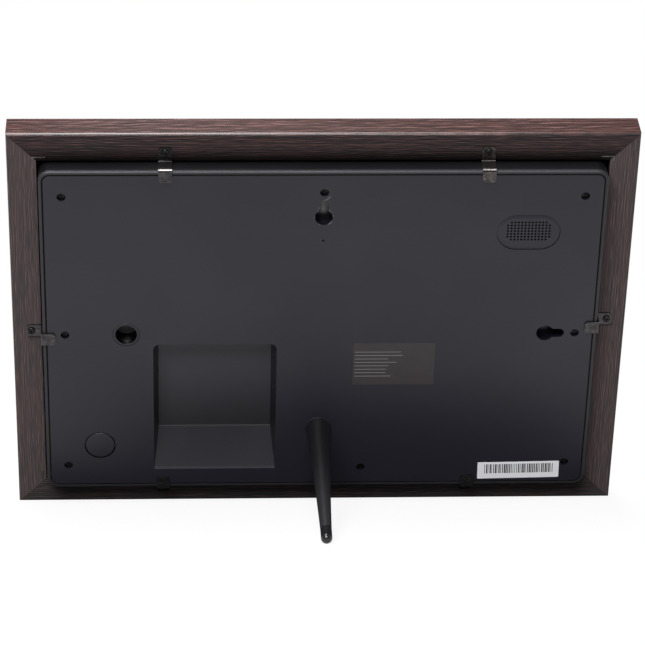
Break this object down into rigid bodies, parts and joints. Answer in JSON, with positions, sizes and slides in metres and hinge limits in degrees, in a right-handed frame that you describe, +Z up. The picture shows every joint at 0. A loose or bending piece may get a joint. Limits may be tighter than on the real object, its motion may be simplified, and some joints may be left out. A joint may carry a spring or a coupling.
{
  "type": "digital photo frame",
  "caption": "Digital photo frame: display module clipped in a mitred dark wood frame, with a black rear cover, port pocket and wall keyholes, leaning on a screw-in leg.",
  "frame": {"origin": "middle of the bounding box's base: the floor below the frame, which stands on its lower rear edge and the leg's foot", "axes": "+Z up, +X along the frame's width, +Y towards the back, where the leg is; the display faces -Y and leans back"},
  "size_m": [0.284, 0.1218, 0.1874],
  "materials": {
    "wood": "dark stained wood veneer, satin",
    "cover_plastic": "black moulded plastic, fine matt texture",
    "clip_steel": "dark burnished sheet steel",
    "screw_steel": "blackened steel",
    "nail_steel": "bare steel edge",
    "cover_glass": "gloss, black printed border",
    "display_cell": "dark polarised display cell",
    "light_guide": "clear acrylic",
    "tray_sheet": "plain sheet",
    "board": "green solder mask",
    "cable": "amber flexible film",
    "lead": "black lead",
    "socket_metal": "bright shell",
    "jack_plastic": "black moulded",
    "foam": "closed-cell foam",
    "leg_metal": "black satin coat",
    "stud_steel": "threaded steel",
    "foot_rubber": "glossy dark rubber"
  },
  "bodies": {
    "frame": {"top_rail": "wood", "bottom_rail": "wood", "left_rail": "wood", "right_rail": "wood", "corner_v_nails": "nail_steel", "clip_top_left": "clip_steel", "clip_top_right": "clip_steel", "clip_bottom_left": "clip_steel", "clip_bottom_right": "clip_steel", "clip_left": "clip_steel", "clip_right": "clip_steel", "clip_screws": "screw_steel", "touch_glass": "cover_glass", "display_panel": "display_cell", "light_guide": "light_guide", "backlight_tray": "tray_sheet", "housing_frame": "cover_plastic", "rear_cover": "cover_plastic", "cover_screws": "screw_steel", "main_board": "board", "board_screws": "screw_steel", "flat_cables": "cable", "dc_jack": "jack_plastic", "usb_port": "socket_metal", "card_slot": "socket_metal", "speaker_grille": "cover_plastic", "speaker_gasket": "foam", "speaker": "jack_plastic", "speaker_lead": "lead", "antenna_lead": "lead", "button_lead": "lead", "antenna": "cable", "power_switch": "jack_plastic", "button_board": "board", "leg_bush": "jack_plastic", "portrait_bush": "jack_plastic"},
    "power_button": {"power_button": "cover_plastic", "switch_plunger": "jack_plastic"},
    "leg_stud": {"leg_stud": "stud_steel"},
    "leg": {"leg_rod": "leg_metal", "leg_foot": "foot_rubber"}
  },
  "joints": [
    {"name": "button_press", "type": "slide", "parent": "frame", "child": "power_button", "axis": [0, -0.9084, 0.4182], "range_m": [0, 0.0006], "stiffness_N_per_m": 1500, "springref_m": -0.0003},
    {"name": "leg_travel", "type": "slide", "parent": "frame", "child": "leg_stud", "axis": [0, 0.9084, -0.4182], "range_m": [0, 0.0075]},
    {"name": "leg_turn", "type": "hinge", "parent": "leg_stud", "child": "leg", "pos_m": [0, -0.02019, 0.03873], "axis": [0, 0.9084, -0.4182], "range_deg": [0, 2161]}
  ],
  "couplings": [
    {"joint": "leg_turn", "follows": "leg_travel", "rad_per_m": 5026.5}
  ]
}
